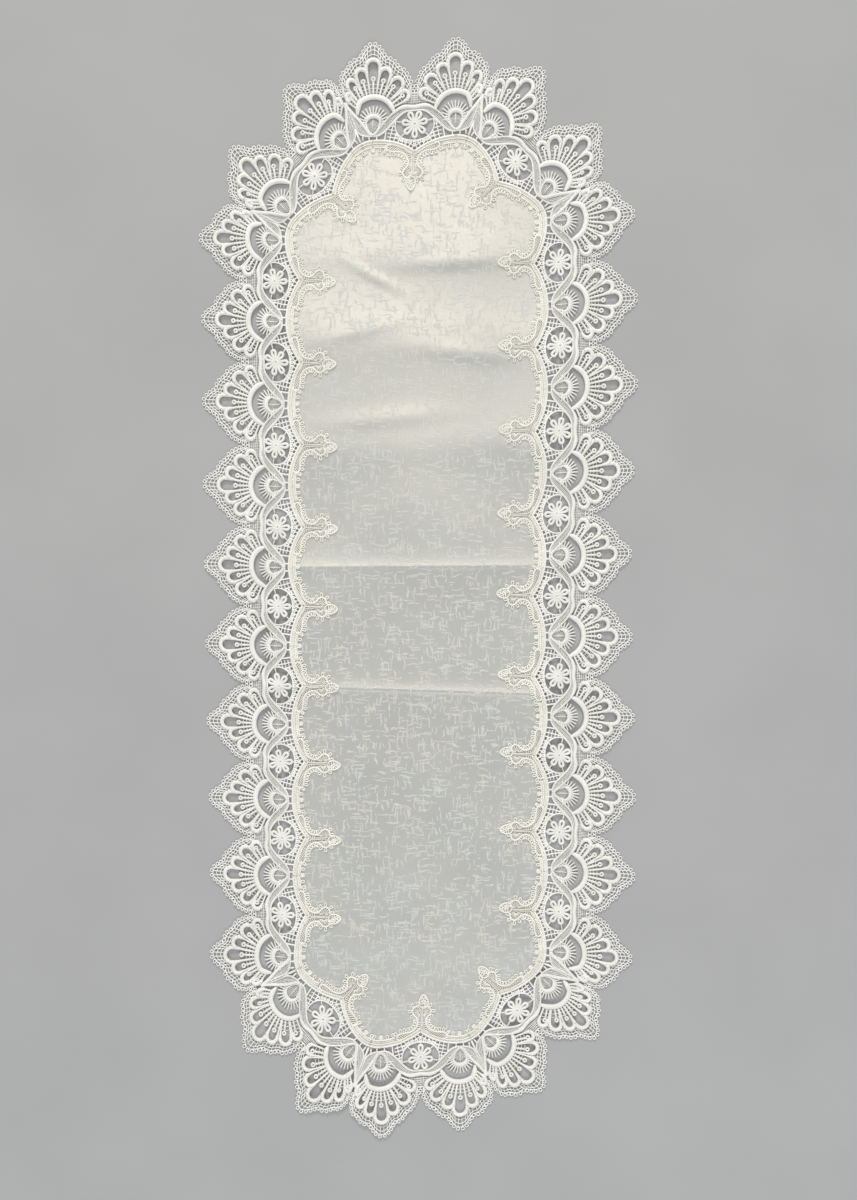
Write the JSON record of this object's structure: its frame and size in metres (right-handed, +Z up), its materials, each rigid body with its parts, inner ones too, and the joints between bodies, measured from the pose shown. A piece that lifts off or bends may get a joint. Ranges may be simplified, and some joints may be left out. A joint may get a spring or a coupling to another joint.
{
  "type": "table runner",
  "caption": "Long narrow table runner: a scalloped jacquard cloth bordered by mitred strips of corded shell lace with flowers, mesh and picots.",
  "frame": {"origin": "centre of the underside, on the surface the runner lies on", "axes": "+Y along the runner towards the end shown at the top, +X across it, +Z up out of its face"},
  "size_m": [0.3608, 0.8968, 0.002],
  "materials": {
    "cloth": "jacquard satin with a broken crackle figure",
    "stitches": "thread",
    "ribbon": "satin-stitched tape with a fine mesh between its edges",
    "shells": "heavy satin-stitched cord",
    "pods": "satin-stitched cord with a mesh centre",
    "daisies": "satin stitch",
    "ladder": "fine thread",
    "scrolls": "narrow corded braid",
    "picot_edge": "fine thread mesh with picot loops"
  },
  "bodies": {
    "root": {"cloth_panel": "cloth", "mitre_stitches": "stitches", "right_side_ribbon": "ribbon", "right_side_shells": "shells", "right_side_pods": "pods", "right_side_daisies": "daisies", "right_side_ladder": "ladder", "right_side_scrolls": "scrolls", "right_side_picot_edge": "picot_edge", "top_right_corner_ribbon": "ribbon", "top_right_corner_shells": "shells", "top_right_corner_pods": "pods", "top_right_corner_daisies": "daisies", "top_right_corner_ladder": "ladder", "top_right_corner_scrolls": "scrolls", "top_right_corner_picot_edge": "picot_edge", "top_end_ribbon": "ribbon", "top_end_shells": "shells", "top_end_pods": "pods", "top_end_daisies": "daisies", "top_end_ladder": "ladder", "top_end_scrolls": "scrolls", "top_end_picot_edge": "picot_edge", "top_left_corner_ribbon": "ribbon", "top_left_corner_shells": "shells", "top_left_corner_pods": "pods", "top_left_corner_daisies": "daisies", "top_left_corner_ladder": "ladder", "top_left_corner_scrolls": "scrolls", "top_left_corner_picot_edge": "picot_edge", "left_side_ribbon": "ribbon", "left_side_shells": "shells", "left_side_pods": "pods", "left_side_daisies": "daisies", "left_side_ladder": "ladder", "left_side_scrolls": "scrolls", "left_side_picot_edge": "picot_edge", "bottom_left_corner_ribbon": "ribbon", "bottom_left_corner_shells": "shells", "bottom_left_corner_pods": "pods", "bottom_left_corner_daisies": "daisies", "bottom_left_corner_ladder": "ladder", "bottom_left_corner_scrolls": "scrolls", "bottom_left_corner_picot_edge": "picot_edge", "bottom_end_ribbon": "ribbon", "bottom_end_shells": "shells", "bottom_end_pods": "pods", "bottom_end_daisies": "daisies", "bottom_end_ladder": "ladder", "bottom_end_scrolls": "scrolls", "bottom_end_picot_edge": "picot_edge", "bottom_right_corner_ribbon": "ribbon", "bottom_right_corner_shells": "shells", "bottom_right_corner_pods": "pods", "bottom_right_corner_daisies": "daisies", "bottom_right_corner_ladder": "ladder", "bottom_right_corner_scrolls": "scrolls", "bottom_right_corner_picot_edge": "picot_edge"}
  },
  "joints": []
}
